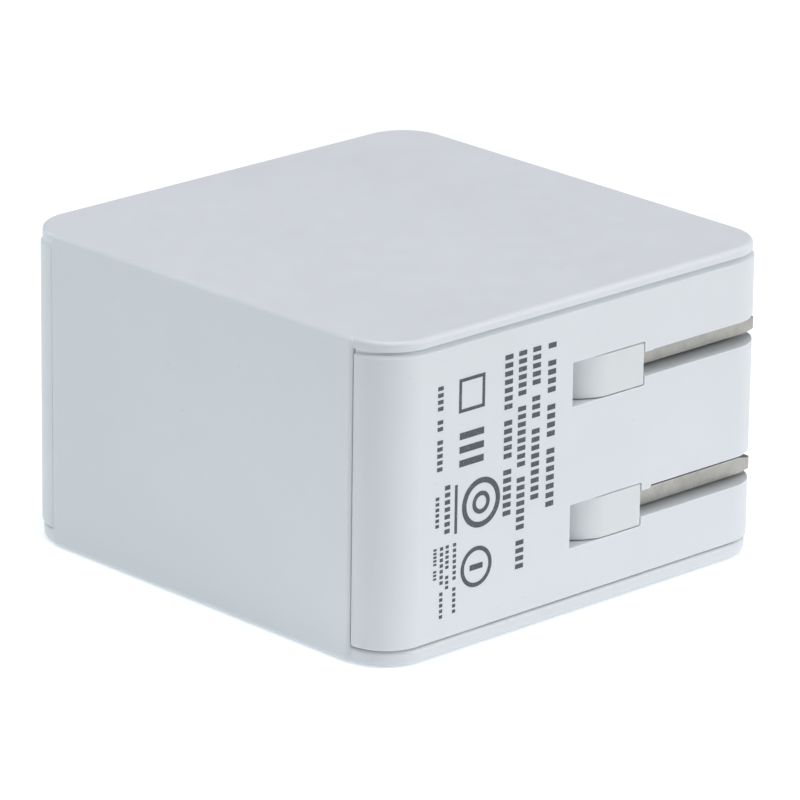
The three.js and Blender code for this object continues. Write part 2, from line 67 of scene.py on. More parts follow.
COVER_HIGH = box_mm("wrap_cover")[1]
SHELL_LOW, SHELL_HIGH = box_mm("rear_shell")
FRONT_HIGH = box_mm("front_shell")[1]
CARRIER_LOW, CARRIER_HIGH = box_mm("prong_carrier")

HALF_X = COVER_HIGH.x
HALF_Y = COVER_HIGH.y
HEIGHT = COVER_HIGH.z
MID_Z = HEIGHT / 2
BODY_LOW = SHELL_LOW.z
BODY_HIGH = SHELL_HIGH.z
BODY_MAX_X = SHELL_HIGH.x
REAR_SPLIT_Y = SHELL_LOW.y

SEAM = 0.1
SPLIT_Y = REAR_SPLIT_Y - SEAM
BASE_PLATE = BODY_LOW - SEAM
TOP_PLATE = HEIGHT - BODY_HIGH - SEAM

PLATE_CORNER = 4.4
BODY_CORNER = 4.0
PANEL_INNER_X = 21.8
PANEL_HALF_LENGTH = 18.9
POCKET_X = 21.5
WALL = 1.4

# The printed face is a hair behind the plates' rims, so that the ink stays inside the box.
INK = 0.02
LABEL_Y = HALF_Y - INK

# Hinge blocks and blades.
BLADE_PITCH = 12.7
LEVELS = {"upper": MID_Z + BLADE_PITCH / 2, "lower": MID_Z - BLADE_PITCH / 2}
BLOCK = 4.15
BLOCK_HALF_HEIGHT = 1.89
BLOCK_CORNER = 0.25
BLOCK_SHOULDER = 0.11
BLADE_SIDE_GAP = 0.05
HINGE_X = -3.1
HINGE_Y = HALF_Y - BLOCK
WINDOW_GAP = 0.16
WINDOW_CORNER = 0.18
WINDOW_FAR_CORNER = 0.08
WINDOW_HALF_HEIGHT = 1.95
PRONG_HOUSING_X = 3.2
PRONG_HOUSING_Y = 14.7
GROOVE_FLOOR_Y = 14.6
GROOVE_DROP = 1.17
GROOVE_RISE = {"upper": 1.06, "lower": 1.48}
NUB_RISE = {"upper": 1.0, "lower": 1.19}
BLADE_THICK = 1.5
BLADE_SINK = {"upper": 0.0, "lower": 0.12}
TAIL_WIDTH = 5
TAIL_REACH = 3.7
TAIL_FIT = 0.02
SHAFT_RADIUS = 2.2
TRUNNION_RADIUS = 1.4

# Ports.
PORT_SHEET = 0.3


# ------------------------------------------------------------------ shapes


def mesh_object(name, vertices, faces):
    mesh = bpy.data.meshes.new(name)
    mesh.from_pydata(vertices, [], faces)
    mesh.validate()
    made = bpy.data.objects.new(name, mesh)
    bpy.context.scene.collection.objects.link(made)
    return made


def arc(centre_x, centre_y, radius, start, end, steps):
    """Points along an arc, both ends included."""
    points = []
    for step in range(steps + 1):
        angle = start + (end - start) * step / steps
        points.append((centre_x + radius * math.cos(angle), centre_y + radius * math.sin(angle)))
    return points


def rectangle(low, high, radius, steps=20):
    """An outline with round corners, as a function of how far it is drawn inwards.

    radius is one number, or four for the corners from low x, low y anticlockwise.
    """
    radii = radius if isinstance(radius, (list, tuple)) else [radius] * 4

    def outline(inset):
        low_x, low_y = low[0] + inset, low[1] + inset
        high_x, high_y = high[0] - inset, high[1] - inset
        r = [max(value - inset, 0.001) for value in radii]
        return (
            arc(low_x + r[0], low_y + r[0], r[0], 2 * QUARTER, 3 * QUARTER, steps)
            + arc(high_x - r[1], low_y + r[1], r[1], 3 * QUARTER, 4 * QUARTER, steps)
            + arc(high_x - r[2], high_y - r[2], r[2], 0, QUARTER, steps)
            + arc(low_x + r[3], high_y - r[3], r[3], QUARTER, 2 * QUARTER, steps)
        )

    return outline


def loft(name, loops):
    """A closed solid through loops of equally many points, with flat ends."""
    count = len(loops[0])
    vertices = [point for loop in loops for point in loop]
    faces = [list(reversed(range(count)))]
    for row in range(len(loops) - 1):
        start = row * count
        for index in range(count):
            after = (index + 1) % count
            faces.append([start + index, start + after, start + count + after, start + count + index])
    faces.append([(len(loops) - 1) * count + index for index in range(count)])
    return mesh_object(name, vertices, faces)


def slab(name, outline, low, high, low_round=0.0, high_round=0.0, steps=5):
    """An outline standing between two heights, with its bottom and top edges rounded."""
    levels = []
    if low_round:
        for step in range(steps):
            angle = QUARTER * step / steps
            levels.append((low + low_round * (1 - math.cos(angle)), low_round * (1 - math.sin(angle))))
    levels.append((low + low_round, 0))
    levels.append((high - high_round, 0))
    if high_round:
        for step in range(1, steps + 1):
            angle = QUARTER * step / steps
            levels.append((high - high_round * (1 - math.sin(angle)), high_round * (1 - math.cos(angle))))
    loops = [[(x, y, z) for x, y in outline(inset)] for z, inset in levels]
    return loft(name, loops)


def facing(name, outline, low_y, high_y, low_round=0.0, high_round=0.0):
    """A slab whose outline is drawn in X and Z, and which runs along Y."""
    made = slab(name, outline, -high_y, -low_y, high_round, low_round)
    made.data.transform(Matrix.Rotation(QUARTER, 4, "X"))
    return made


def block(low, high, rounding=0.0):
    """A box with rounded edges, or a sharp one for cutting."""
    if rounding:
        outline = rectangle(low[:2], high[:2], rounding, 4)
        return slab("block", outline, low[2], high[2], rounding, rounding, 4)
    x, y, z = zip(low, high)
    vertices = [(x[i], y[j], z[k]) for k in (0, 1) for j in (0, 1) for i in (0, 1)]
    faces = [(0, 2, 3, 1), (4, 5, 7, 6), (0, 1, 5, 4), (2, 6, 7, 3), (0, 4, 6, 2), (1, 3, 7, 5)]
    return mesh_object("block", vertices, faces)


def upright(x, y, radius, low, high, rounding=0.15, steps=12):
    """A round bar along Z."""
    outline = rectangle((x - radius, y - radius), (x + radius, y + radius), radius, steps)
    return slab("upright", outline, low, high, rounding, rounding, 3)


def carve(target, tool, operation="DIFFERENCE"):
    """Cuts tool out of target, or joins it on with UNION, and removes tool."""
    modifier = target.modifiers.new("carve", "BOOLEAN")
    modifier.object = tool
    modifier.operation = operation
    modifier.solver = "EXACT"
    graph = bpy.context.evaluated_depsgraph_get()
    made = bpy.data.meshes.new_from_object(target.evaluated_get(graph))
    target.modifiers.clear()
    worn = target.data
    target.data = made
    bpy.data.meshes.remove(worn)
    bpy.data.objects.remove(tool)
    return target


def weld(target, *others):
    for other in others:
        carve(target, other, "UNION")
    return target


def soften(target, chosen, width, segments=2):
    """Rounds the sharp edges for which chosen(one end, other end) is true."""
    shape = bmesh.new()
    shape.from_mesh(target.data)
    bmesh.ops.remove_doubles(shape, verts=shape.verts, dist=0.0005)
    bmesh.ops.dissolve_degenerate(shape, dist=0.0005, edges=shape.edges)
    sharp = math.radians(35)
    edges = []
    for edge in shape.edges:
        if len(edge.link_faces) == 2 and edge.calc_face_angle(0) > sharp:
            if chosen(edge.verts[0].co, edge.verts[1].co):
                edges.append(edge)
    bmesh.ops.bevel(
        shape, geom=edges, offset=width, segments=segments, profile=0.5, affect="EDGES", clamp_overlap=True
    )
    shape.to_mesh(target.data)
    shape.free()
    return target


def every_edge(_start, _end):
    return True


def finish_piece(made, name, body, material, nodes=()):
    """Scales a piece to metres, shades it, parents it to its body's empty and hides the CAD nodes it
    replaces.
    """
    made.name = name
    made.data.name = name
    made.data.transform(Matrix.Scale(MM, 4))
    made.data.materials.clear()
    made.data.materials.append(material)
    made.data.polygons.foreach_set("use_smooth", [True] * len(made.data.polygons))
    made.data.set_sharp_from_angle(angle=math.radians(38))
    weighted = made.modifiers.new("weighted_normals", "WEIGHTED_NORMAL")
    weighted.keep_sharp = True
    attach(made, body)
    if nodes:
        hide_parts(*nodes)
    return made


# ------------------------------------------------------------------ materials


def tone(red, green, blue):
    """A colour given in sRGB from 0 to 255, as the shader's linear RGBA."""
    linear = []
    for value in (red, green, blue):
        share = value / 255
        linear.append(share / 12.92 if share <= 0.04045 else ((share + 0.055) / 1.055) ** 2.4)
    return (*linear, 1)


class Finish:
    """One material's node tree, with a short call for each thing that the finishes share."""

    def __init__(self, name, color, roughness, metallic=0.0, specular=0.5):
        self.material = bpy.data.materials.new(name)
        self.material.use_nodes = True
        self.nodes = self.material.node_tree.nodes
        self.links = self.material.node_tree.links
        self.shader = self.nodes["Principled BSDF"]
        self.shader.inputs["Base Color"].default_value = color
        self.shader.inputs["Roughness"].default_value = roughness
        self.shader.inputs["Metallic"].default_value = metallic
        self.shader.inputs["Specular IOR Level"].default_value = specular
        self.color = None
        self.base_color = color
        self.normal = None
        place = self.nodes.new("ShaderNodeTexCoord")
        self.millimetres = self.nodes.new("ShaderNodeVectorMath")
        self.millimetres.operation = "SCALE"
        self.millimetres.inputs["Scale"].default_value = 1 / MM
        self.links.new(place.outputs["Object"], self.millimetres.inputs[0])

    def place(self, stretch=(1, 1, 1)):
        """Object coordinates in millimetres, stretched per axis."""
        mapping = self.nodes.new("ShaderNodeVectorMath")
        mapping.operation = "MULTIPLY"
        mapping.inputs[1].default_value = stretch
        self.links.new(self.millimetres.outputs[0], mapping.inputs[0])
        return mapping.outputs[0]

    def noise(self, scale, detail=3.0, stretch=(1, 1, 1)):
        """Soft random variation from 0 to 1, with scale features per millimetre."""
        node = self.nodes.new("ShaderNodeTexNoise")
        node.inputs["Scale"].default_value = scale
        node.inputs["Detail"].default_value = detail
        self.links.new(self.place(stretch), node.inputs["Vector"])
        return node.outputs["Fac"]

    def specks(self, spacing, radius):
        """1 inside rare small dots and 0 elsewhere."""
        node = self.nodes.new("ShaderNodeTexVoronoi")
        node.inputs["Scale"].default_value = 1 / spacing
        self.links.new(self.place(), node.inputs["Vector"])
        return self.between(node.outputs["Distance"], radius / spacing, 0.4 * radius / spacing, 0, 1)

    def between(self, value, from_low, from_high, to_low, to_high):
        """Maps a range of value onto another, held at its ends."""
        node = self.nodes.new("ShaderNodeMapRange")
        for name, number in zip(
            ("From Min", "From Max", "To Min", "To Max"), (from_low, from_high, to_low, to_high)
        ):
            node.inputs[name].default_value = number
        self.links.new(value, node.inputs["Value"])
        return node.outputs["Result"]

    def edges(self, radius):
        """1 on convex edges and corners, 0 on flats."""
        node = self.nodes.new("ShaderNodeBevel")
        node.samples = 6
        node.inputs["Radius"].default_value = radius * MM
        true_normal = self.nodes.new("ShaderNodeNewGeometry")
        dot = self.nodes.new("ShaderNodeVectorMath")
        dot.operation = "DOT_PRODUCT"
        self.links.new(node.outputs["Normal"], dot.inputs[0])
        self.links.new(true_normal.outputs["Normal"], dot.inputs[1])
        return self.between(dot.outputs["Value"], 0.998, 0.93, 0, 1)

    def times(self, first, second):
        node = self.nodes.new("ShaderNodeMath")
        node.operation = "MULTIPLY"
        self.links.new(first, node.inputs[0])
        self.links.new(second, node.inputs[1])
        return node.outputs["Value"]

    def tint(self, mask, color, strength=1.0):
        """Mixes a colour over the base where mask is 1."""
        node = self.nodes.new("ShaderNodeMix")
        node.data_type = "RGBA"
        if strength != 1.0:
            mask = self.between(mask, 0, 1, 0, strength)
        self.links.new(mask, node.inputs["Factor"])
        if self.color is None:
            node.inputs[6].default_value = self.base_color
        else:
            self.links.new(self.color, node.inputs[6])
        node.inputs[7].default_value = color
        self.color = node.outputs[2]
        self.links.new(self.color, self.shader.inputs["Base Color"])

    def vary_roughness(self, value, low, high):
        self.links.new(self.between(value, 0.3, 0.7, low, high), self.shader.inputs["Roughness"])

    def bump(self, height, depth):
        """Adds relief of depth millimetres on top of any relief already there."""
        node = self.nodes.new("ShaderNodeBump")
        node.inputs["Distance"].default_value = depth * MM
        self.links.new(height, node.inputs["Height"])
        if self.normal is not None:
            self.links.new(self.normal, node.inputs["Normal"])
        self.normal = node.outputs["Normal"]
        self.links.new(self.normal, self.shader.inputs["Normal"])


def moulded_plastic(name, color, roughness, grain=9.0, depth=0.004, dust=2.1):
    """Injection moulded plastic: fine matt grain, faint flow shading, painted highlight on convex edges,
    dust.
    """
    finish = Finish(name, color, roughness)
    flow = finish.noise(0.06, 2.0)
    finish.tint(finish.between(flow, 0.35, 0.65, 0, 1), tuple(0.965 * c for c in color[:3]) + (1,), 0.8)
    # Painted highlight: convex edges are tinted lighter than the flats.
    finish.tint(finish.edges(0.22), tuple(min(1, 1.12 * c) for c in color[:3]) + (1,), 0.9)
    dots = finish.times(finish.specks(dust, 0.075), finish.between(finish.noise(0.3, 0), 0.5, 0.62, 0, 1))
    finish.tint(dots, tone(120, 124, 128), 0.55)
    fine = finish.noise(grain, 4.0)
    finish.vary_roughness(finish.noise(0.5, 4.0), roughness - 0.05, roughness + 0.06)
    finish.bump(fine, depth)
    finish.bump(flow, 0.05)
    return finish.material


def stamped_metal(name, color, roughness, stretch, scratch=5.0, depth=0.006, stain=None):
    """Plated sheet metal: fine parallel marks, cloudy plating, painted highlight on convex edges."""
    finish = Finish(name, color, roughness, 1.0)
    cloud = finish.noise(0.8, 4.0)
    marks = finish.noise(scratch, 5.0, stretch)
    dark = stain or tuple(0.72 * c for c in color[:3]) + (1,)
    finish.tint(finish.between(marks, 0.42, 0.68, 0, 1), dark, 0.6)
    finish.tint(finish.between(cloud, 0.5, 0.7, 0, 1), dark, 0.35)
    # Painted highlight: convex edges are tinted lighter than the flats.
    finish.tint(finish.edges(0.12), tuple(min(1, 1.3 * c) for c in color[:3]) + (1,), 0.6)
    finish.vary_roughness(cloud, roughness - 0.07, roughness + 0.1)
    finish.bump(marks, depth)
    return finish.material


def coated(name, color, roughness, scale, depth, patch, patch_strength=0.5, stretch=(1, 1, 1)):
    """A sleeve, tape, film or ceramic coat: patchy colour and soft relief at its own scale."""
    finish = Finish(name, color, roughness)
    pattern = finish.noise(scale, 4.0, stretch)
    finish.tint(finish.between(pattern, 0.4, 0.65, 0, 1), patch, patch_strength)
    # Painted highlight: convex edges are tinted lighter than the flats.
    finish.tint(finish.edges(0.15), tuple(min(1, 1.25 * c + 0.01) for c in color[:3]) + (1,), 0.4)
    finish.vary_roughness(finish.noise(scale * 3, 3.0), roughness - 0.08, roughness + 0.08)
    finish.bump(pattern, depth)
    return finish.material


def circuit_board():
    """Solder mask over glass weave, with paler copper areas under the mask."""
    finish = Finish("board_mask", tone(44, 104, 62), 0.42)
    weave = finish.times(finish.noise(6, 0, (1, 12, 1)), finish.noise(6, 0, (12, 1, 1)))
    copper = finish.noise(0.45, 0.0)
    finish.tint(finish.between(copper, 0.5, 0.53, 0, 1), tone(66, 132, 78), 0.8)
    finish.tint(finish.edges(0.2), tone(150, 152, 110), 0.7)
    finish.vary_roughness(weave, 0.36, 0.5)
    finish.bump(weave, 0.01)
    finish.bump(copper, 0.02)
    return finish.material


def printed_ink():
    """Pad-printed grey ink, a little thin in places."""
    finish = Finish("label_ink", tone(70, 73, 82), 0.55)
    thin = finish.noise(4.0, 4.0)
    finish.tint(finish.between(thin, 0.55, 0.72, 0, 1), tone(118, 122, 132), 0.8)
    finish.vary_roughness(thin, 0.5, 0.62)
    finish.bump(thin, 0.004)
    return finish.material


FINISHES = {
    "cover_plastic": moulded_plastic("cover_white", (0.665, 0.705, 0.735, 1), 0.36, 7.0, 0.003),
    "shell_plastic": moulded_plastic("shell_white", (0.665, 0.708, 0.736, 1), 0.44),
    "hinge_plastic": moulded_plastic("hinge_white", (0.65, 0.693, 0.703, 1), 0.4, 12.0, 0.003, 3.1),
    "tongue_plastic": moulded_plastic("tongue_white", tone(232, 232, 228), 0.45, 10.0, 0.004),
    "black_plastic": moulded_plastic("moulded_black", tone(34, 35, 37), 0.5, 8.0, 0.008),
    "blade_nickel": stamped_metal("blade_nickel", tone(176, 176, 170), 0.36, (6, 1, 0.35)),
    "port_steel": stamped_metal("port_steel", tone(196, 198, 200), 0.28, (0.4, 0.4, 5)),
    "screw_steel": stamped_metal("screw_steel", tone(172, 174, 178), 0.3, (1, 6, 1)),
    "contact_brass": stamped_metal("contact_brass", tone(206, 172, 96), 0.3, (1, 0.3, 6)),
    "circuit_board": circuit_board(),
    "ferrite": coated("ferrite", tone(62, 63, 66), 0.62, 2.5, 0.03, tone(44, 44, 47)),
    "winding_tape": coated(
        "winding_tape", tone(222, 186, 70), 0.32, 1.2, 0.03, tone(200, 158, 48), 0.6, (1, 0.4, 4)
    ),
    "can_sleeve_dark": coated("can_sleeve_dark", tone(36, 38, 46), 0.34, 1.5, 0.012, tone(54, 57, 68)),
    "can_sleeve_green": coated("can_sleeve_green", tone(40, 92, 72), 0.34, 1.5, 0.012, tone(58, 118, 92)),
    "choke_sleeve": coated(
        "choke_sleeve", tone(88, 68, 48), 0.5, 3.0, 0.03, tone(120, 84, 50), 0.6, (1, 1, 5)
    ),
    "fuse_body": coated("fuse_body", tone(168, 190, 140), 0.46, 2.0, 0.015, tone(140, 168, 118)),
    "capacitor_blue": coated("capacitor_blue", tone(52, 98, 180), 0.36, 2.2, 0.03, tone(34, 74, 152)),
    "polyester_film": coated("polyester_film", tone(238, 232, 212), 0.26, 0.4, 0.02, tone(224, 216, 190)),
    "lead_brown": coated("lead_brown", tone(122, 76, 44), 0.44, 3.0, 0.01, tone(98, 58, 34)),
    "lead_blue": coated("lead_blue", tone(48, 82, 142), 0.44, 3.0, 0.01, tone(34, 62, 116)),
}
INK_FINISH = printed_ink()


# ------------------------------------------------------------------ camera, lights, floor

VIEW_AZIMUTH = 136.3
VIEW_ELEVATION = 19.01
VIEW_ROLL = 0.762
VIEW_DISTANCE = 0.5518
VIEW_AIM = Vector((-0.0001, 0.0006, 0.01319))
LENS = 285.86

KEY_WATTS = 3.2
KEY_COLOR = (1.0, 0.99, 0.94)
OVERHEAD_WATTS = 6.5
OVERHEAD_COLOR = (0.98, 0.93, 1.0)
SIDE_WATTS = 2.7
SIDE_COLOR = (0.75, 1.0, 0.86)
RIM_WATTS = 0.55
RIM_COLOR = (1.0, 1.0, 1.0)
WORLD_STRENGTH = 0.2
WORLD_COLOR = (1.0, 1.0, 1.0)
FLOOR_GLOW = 0.195
# Extra floor glow near the object: a painted pool of light.
FLOOR_POOL_GLOW = 0.17
FLOOR_COLOR = (0.86, 0.9, 0.95)


def back_of_view(azimuth, elevation):
    """Unit vector from the object towards a camera or light at that azimuth and elevation."""
    a, e = math.radians(azimuth), math.radians(elevation)
    return Vector((math.sin(a) * math.cos(e), -math.cos(a) * math.cos(e), math.sin(e)))


def make_camera():
    data = bpy.data.cameras.new("camera")
    data.lens = LENS
    data.sensor_width = 36
    data.clip_start = 0.01
    data.clip_end = 20
    camera = bpy.data.objects.new("camera", data)
    bpy.context.scene.collection.objects.link(camera)
    back = back_of_view(VIEW_AZIMUTH, VIEW_ELEVATION)
    camera.location = VIEW_AIM + back * VIEW_DISTANCE
    camera.rotation_mode = "QUATERNION"
    level = (-back).to_track_quat("-Z", "Y")
    roll = Matrix.Rotation(math.radians(VIEW_ROLL), 4, back).to_quaternion()
    camera.rotation_quaternion = roll @ level
    bpy.context.scene.camera = camera


def soft_box(name, azimuth, elevation, distance, size, watts, color=(1, 1, 1)):
    data = bpy.data.lights.new(name, "AREA")
    data.shape = "DISK"
    data.size = size
    data.energy = watts
    data.color = color
    light = bpy.data.objects.new(name, data)
    bpy.context.scene.collection.objects.link(light)
    back = back_of_view(azimuth, elevation)
    light.location = Vector((0, 0, MID_Z * MM)) + back * distance
    light.rotation_mode = "QUATERNION"
    light.rotation_quaternion = (-back).to_track_quat("-Z", "Y")
    light.visible_camera = False
    return light


def make_lights():
    soft_box("key", 212, 22, 0.9, 0.7, KEY_WATTS, KEY_COLOR)
    soft_box("overhead", 140, 84, 0.9, 0.8, OVERHEAD_WATTS, OVERHEAD_COLOR)
    soft_box("side", 24, 18, 1.0, 0.6, SIDE_WATTS, SIDE_COLOR)
    soft_box("rim", 259, 12, 1.0, 0.5, RIM_WATTS, RIM_COLOR)
    world = bpy.data.worlds.new("studio")
    world.use_nodes = True
    background = world.node_tree.nodes["Background"]
    background.inputs["Color"].default_value = (*WORLD_COLOR, 1)
    background.inputs["Strength"].default_value = WORLD_STRENGTH
    bpy.context.scene.world = world


def make_floor():
    reach = 3.0
    corners = [(-reach, -reach, 0), (reach, -reach, 0), (reach, reach, 0), (-reach, reach, 0)]
    floor = mesh_object("floor", corners, [(0, 1, 2, 3)])
    floor.location.z = -0.00005
    paper = Finish("paper", (0.86, 0.865, 0.87, 1), 0.9, 0.0, 0.1)
    paper.tint(paper.noise(0.02, 2.0), (0.88, 0.885, 0.89, 1))
    paper.shader.inputs["Emission Color"].default_value = (*FLOOR_COLOR, 1)
    far_off = paper.nodes.new("ShaderNodeVectorMath")
    far_off.operation = "LENGTH"
    paper.links.new(paper.millimetres.outputs[0], far_off.inputs[0])
    # Painted pool of light: the floor glows more within 45 mm of the centre, fading out by 110 mm, and
    # this also lights the object's lower sides.
    glow = paper.between(far_off.outputs["Value"], 110, 45, FLOOR_GLOW, FLOOR_GLOW + FLOOR_POOL_GLOW)
    paper.links.new(glow, paper.shader.inputs["Emission Strength"])
    floor.data.materials.append(paper.material)


# ------------------------------------------------------------------ wrap cover


def make_cover():
    """Top plate, base plate and side panel, one moulding with softly rounded edges."""
    plate = rectangle((-HALF_X, -HALF_Y), (BODY_MAX_X, HALF_Y), PLATE_CORNER, 28)
    cover = slab("cover", plate, HEIGHT - TOP_PLATE, HEIGHT, 0.07, 0.42, 6)
    base = slab("base", plate, 0, BASE_PLATE, 0.6, 0.35, 6)
    sides = rectangle((PANEL_INNER_X, -PANEL_HALF_LENGTH), (HALF_X, PANEL_HALF_LENGTH), 0.3, 6)
    panel = slab("panel", sides, 0, HEIGHT, 0.55, 0.42, 6)
    weld(cover, base, panel)
    finish_piece(cover, "cover_skin", "housing", FINISHES["cover_plastic"], ["wrap_cover"])


# ------------------------------------------------------------------ housing shells

BODY_TOP_ROUND = 0.45
BODY_BASE_ROUND = 0.12
RIM_INSET = 0.16
RIM_GAP = 0.015
LIP_ROUND = 0.09
FAR = 40


def housing_blank(name):
    """The outside of both shells, with the pocket for the cover's side panel."""
    outline = rectangle((-HALF_X, -HALF_Y), (BODY_MAX_X, LABEL_Y), BODY_CORNER, 28)
    blank = slab(name, outline, BODY_LOW, BODY_HIGH, BODY_BASE_ROUND, BODY_TOP_ROUND, 1)
    low = (-HALF_X + RIM_INSET, -HALF_Y + RIM_INSET)
    high = (BODY_MAX_X - RIM_INSET, LABEL_Y - BODY_TOP_ROUND - RIM_INSET)
    rim = rectangle(low, high, BODY_CORNER - RIM_INSET, 28)
    weld(blank, slab("rim", rim, BASE_PLATE + RIM_GAP, HEIGHT - TOP_PLATE - RIM_GAP))
    reach = PANEL_HALF_LENGTH + SEAM
    return carve(blank, block((POCKET_X, -reach, 0), (FAR, reach, HEIGHT)))


def housing_cavity():
    low = (-HALF_X + WALL, -HALF_Y + WALL + 0.4)
    high = (POCKET_X - WALL, HALF_Y - WALL)
    outline = rectangle(low, high, BODY_CORNER - WALL, 12)
    return slab("cavity", outline, BODY_LOW + WALL, BODY_HIGH - WALL)


def on_outside(point):
    """True for a point on the blank's upright outer surface."""
    half_x = (HALF_X + BODY_MAX_X) / 2 - BODY_CORNER
    half_y = (HALF_Y + LABEL_Y) / 2 - BODY_CORNER
    dx = abs(point.x + (HALF_X - BODY_MAX_X) / 2) - half_x
    dy = abs(point.y + (HALF_Y - LABEL_Y) / 2) - half_y
    outside = math.hypot(max(dx, 0), max(dy, 0)) if max(dx, dy) > 0 else max(dx, dy)
    between_rounds = BODY_LOW + BODY_BASE_ROUND - 0.01 < point.z < BODY_HIGH - BODY_TOP_ROUND + 0.01
    return abs(outside - BODY_CORNER) < 0.02 and between_rounds


def outside_edge(start, end):
    return on_outside(start) and on_outside(end)


def blade_groove(side):
    """Open groove for a folded blade, with a nub left standing in its upper wall."""
    level = LEVELS[side]
    top = level + GROOVE_RISE[side]
    groove = block((-FAR, GROOVE_FLOOR_Y, level - GROOVE_DROP), (HINGE_X, FAR, top))
    nub_right = HINGE_X - BLOCK - BLOCK_SHOULDER - BLADE_SIDE_GAP + 0.1
    nub_low = (nub_right - 1.25, level + NUB_RISE[side])
    nub = facing("nub", rectangle(nub_low, (nub_right + 0.6, top + 1), 0.3, 6), HALF_Y - 1.6, FAR)
    return carve(groove, nub)


def hinge_window(side):
    """Window for a hinge block. Its corners towards the blade follow the block's rounded edges."""
    level = LEVELS[side]
    blade_side = HINGE_X - BLOCK - BLOCK_SHOULDER - BLADE_SIDE_GAP
    low = (blade_side, level - WINDOW_HALF_HEIGHT)
    high = (HINGE_X + BLOCK + WINDOW_GAP, level + WINDOW_HALF_HEIGHT)
    outline = rectangle(low, high, [WINDOW_CORNER, WINDOW_FAR_CORNER, WINDOW_FAR_CORNER, WINDOW_CORNER], 6)
    return facing("window", outline, PRONG_HOUSING_Y - 1, FAR)


def hinge_well():
    """Room behind the windows for the shaft and its trunnions."""
    half = SHAFT_RADIUS + 0.3
    low = (HINGE_X - half, PRONG_HOUSING_Y - 1, LEVELS["lower"])
    well = block(low, (HINGE_X + half, HINGE_Y + half, LEVELS["upper"]))
    past = BLOCK_HALF_HEIGHT + 2.1
    seat_half = TRUNNION_RADIUS + SEAM
    low = (HINGE_X - seat_half, PRONG_HOUSING_Y - 1, LEVELS["lower"] - past)
    slot = block(low, (HINGE_X + seat_half, HINGE_Y, LEVELS["upper"] + past))
    seat = upright(HINGE_X, HINGE_Y, seat_half, LEVELS["lower"] - past, LEVELS["upper"] + past, 0.0)
    return weld(well, slot, seat)


def make_rear_shell():
    shell = housing_blank("rear_body")
    carve(shell, block((-FAR, -FAR, 0), (FAR, REAR_SPLIT_Y, HEIGHT)))
    cavity = housing_cavity()
    keep = block((-FAR, PRONG_HOUSING_Y, 0), (PRONG_HOUSING_X, FAR, HEIGHT))
    carve(shell, carve(cavity, keep))
    carve(shell, hinge_well())
    for side in LEVELS:
        carve(shell, hinge_window(side))
        carve(shell, blade_groove(side))
    soften(shell, outside_edge, LIP_ROUND)
    finish_piece(shell, "rear_body", "housing", FINISHES["shell_plastic"], ["rear_shell"])


def port_boxes():
    """Box of each receptacle's steel shell, in millimetres."""
    return {side: box_mm(f"usb_shell_{side}") for side in ("left", "right")}


def make_front_shell():
    """Port shell, with a thin lip that enters the rear shell."""
    shell = housing_blank("front_body")
    carve(shell, block((-FAR, SPLIT_Y, 0), (FAR, FAR, HEIGHT)))
    carve(shell, housing_cavity())
    low = (-HALF_X + WALL + SEAM, BODY_LOW + WALL + SEAM)
    high = (POCKET_X - WALL - SEAM, BODY_HIGH - WALL - SEAM)
    ring = facing("ring", rectangle(low, high, 0.6, 4), SPLIT_Y - 1.5, FRONT_HIGH.y)
    thin = 0.8
    flare = 0.6
    inside = rectangle((low[0] + thin, low[1] + thin), (high[0] - thin, high[1] - thin), 0.4, 4)
    carve(ring, facing("hole", inside, SPLIT_Y - 3, FAR))
    wide = rectangle((low[0] - flare, low[1] - flare), (high[0] + flare, high[1] + flare), flare, 4)
    root = facing("root", wide, SPLIT_Y - 1.5, SPLIT_Y - 0.5)
    carve(root, facing("hole", inside, SPLIT_Y - 3, FAR))
    weld(shell, weld(ring, root))
    for low, high in port_boxes().values():
        outline = rectangle((low.x - SEAM, low.z - SEAM), (high.x + SEAM, high.z + SEAM), 0.5, 6)
        carve(shell, facing("opening", outline, -FAR, -HALF_Y + WALL + 1))
    soften(shell, outside_edge, 0.2, 3)
    finish_piece(shell, "front_body", "housing", FINISHES["shell_plastic"], ["front_shell"])


# ------------------------------------------------------------------ folding prongs


def block_outline(inset):
    """Drum with one square, slightly proud quadrant, folded, around the hinge axis."""
    radius = BLOCK - inset
    corner = max(BLOCK_CORNER - inset, 0.001)
    left = -radius - BLOCK_SHOULDER
    shape = arc(left + corner, radius - corner, corner, QUARTER, 2 * QUARTER, 6)
    shape.append((left, 0.0))
    shape += arc(0, 0, radius, 2 * QUARTER, 5 * QUARTER, 60)
    return [(HINGE_X + x, HINGE_Y + y) for x, y in shape]


def make_carrier():
    """Both hinge blocks on their shaft, one moulding."""
    low, high = LEVELS["lower"], LEVELS["upper"]
    carrier = upright(HINGE_X, HINGE_Y, SHAFT_RADIUS, low, high)
    weld(carrier, upright(HINGE_X, HINGE_Y, TRUNNION_RADIUS, CARRIER_LOW.z, CARRIER_HIGH.z))
    edge = 0.16
    for level in LEVELS.values():
        drum_low, drum_high = level - BLOCK_HALF_HEIGHT, level + BLOCK_HALF_HEIGHT
        weld(carrier, slab("drum", block_outline, drum_low, drum_high, edge, edge, 4))
    for side, level in LEVELS.items():
        centre = level - BLADE_SINK[side]
        half = BLADE_THICK / 2 + TAIL_FIT
        tail_half = TAIL_WIDTH / 2 + TAIL_FIT
        low = (HINGE_X - BLOCK - 1, HINGE_Y - tail_half, centre - half)
        carve(carrier, block(low, (HINGE_X + BLOCK + 1, HINGE_Y + tail_half, centre + half)))
    finish = FINISHES["hinge_plastic"]
    finish_piece(carrier, "hinge_blocks", "prongs", finish, ["prong_carrier"])


